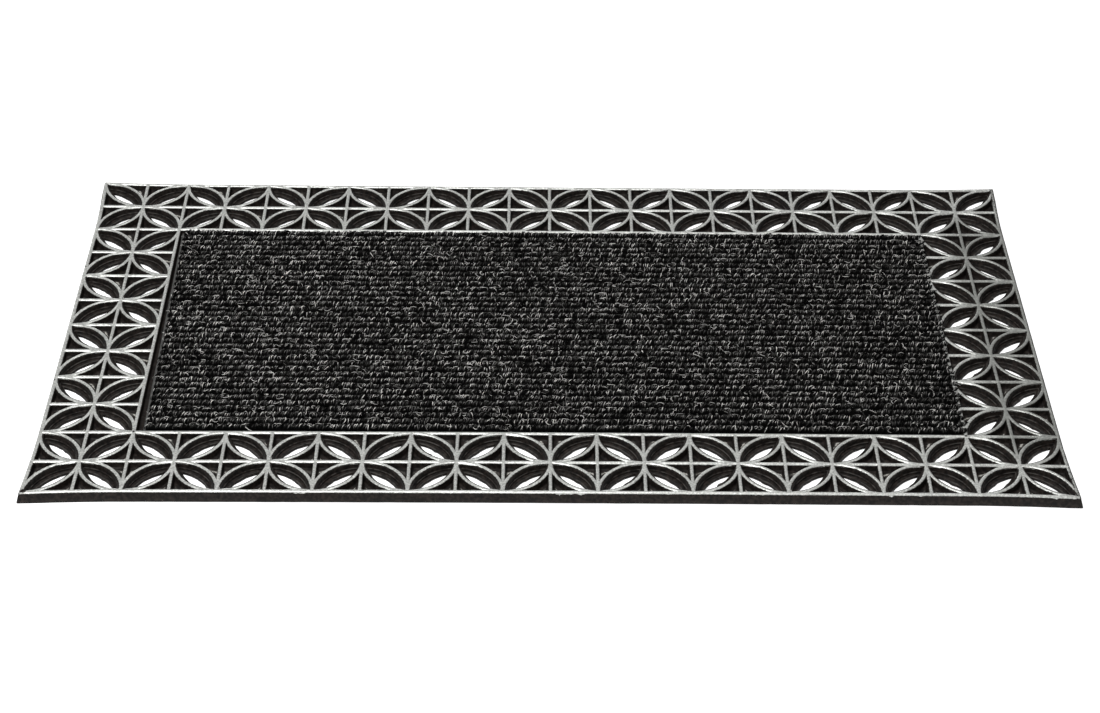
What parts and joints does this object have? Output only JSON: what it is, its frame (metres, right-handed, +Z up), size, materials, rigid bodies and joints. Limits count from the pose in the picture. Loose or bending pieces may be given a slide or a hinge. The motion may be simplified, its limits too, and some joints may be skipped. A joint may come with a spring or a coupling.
{
  "type": "door mat",
  "caption": "Rectangular rubber door mat with an openwork flower border, silver on its rib tops, and a ribbed charcoal carpet insert bonded in its tray, for scraping and wiping shoes.",
  "frame": {"origin": "on the floor, under the middle of the mat", "axes": "+X along the long side, +Y from the front edge to the back edge, +Z up from the floor through the pile"},
  "size_m": [0.7498, 0.4124, 0.0098],
  "materials": {
    "rubber": "satin black moulded rubber, with silver paint rolled on the tops of the ribs and rims",
    "adhesive": "dried carpet adhesive, dull amber",
    "latex": "matt latex coat",
    "backing": "woven black backing cloth",
    "pile_yarn": "charcoal heather yarn with light grey fibres, in looped rows"
  },
  "bodies": {
    "root": {"rubber_moulding": "rubber", "adhesive_film": "adhesive", "latex_coating": "latex", "backing_cloth": "backing", "pile_row_01": "pile_yarn", "pile_row_02": "pile_yarn", "pile_row_03": "pile_yarn", "pile_row_04": "pile_yarn", "pile_row_05": "pile_yarn", "pile_row_06": "pile_yarn", "pile_row_07": "pile_yarn", "pile_row_08": "pile_yarn", "pile_row_09": "pile_yarn", "pile_row_10": "pile_yarn", "pile_row_11": "pile_yarn", "pile_row_12": "pile_yarn", "pile_row_13": "pile_yarn", "pile_row_14": "pile_yarn", "pile_row_15": "pile_yarn", "pile_row_16": "pile_yarn", "pile_row_17": "pile_yarn", "pile_row_18": "pile_yarn", "pile_row_19": "pile_yarn", "pile_row_20": "pile_yarn", "pile_row_21": "pile_yarn", "pile_row_22": "pile_yarn", "pile_row_23": "pile_yarn", "pile_row_24": "pile_yarn", "pile_row_25": "pile_yarn", "pile_row_26": "pile_yarn", "pile_row_27": "pile_yarn", "pile_row_28": "pile_yarn", "pile_row_29": "pile_yarn", "pile_row_30": "pile_yarn", "pile_row_31": "pile_yarn", "pile_row_32": "pile_yarn", "pile_row_33": "pile_yarn", "pile_row_34": "pile_yarn", "pile_row_35": "pile_yarn", "pile_row_36": "pile_yarn", "pile_row_37": "pile_yarn"}
  },
  "joints": []
}
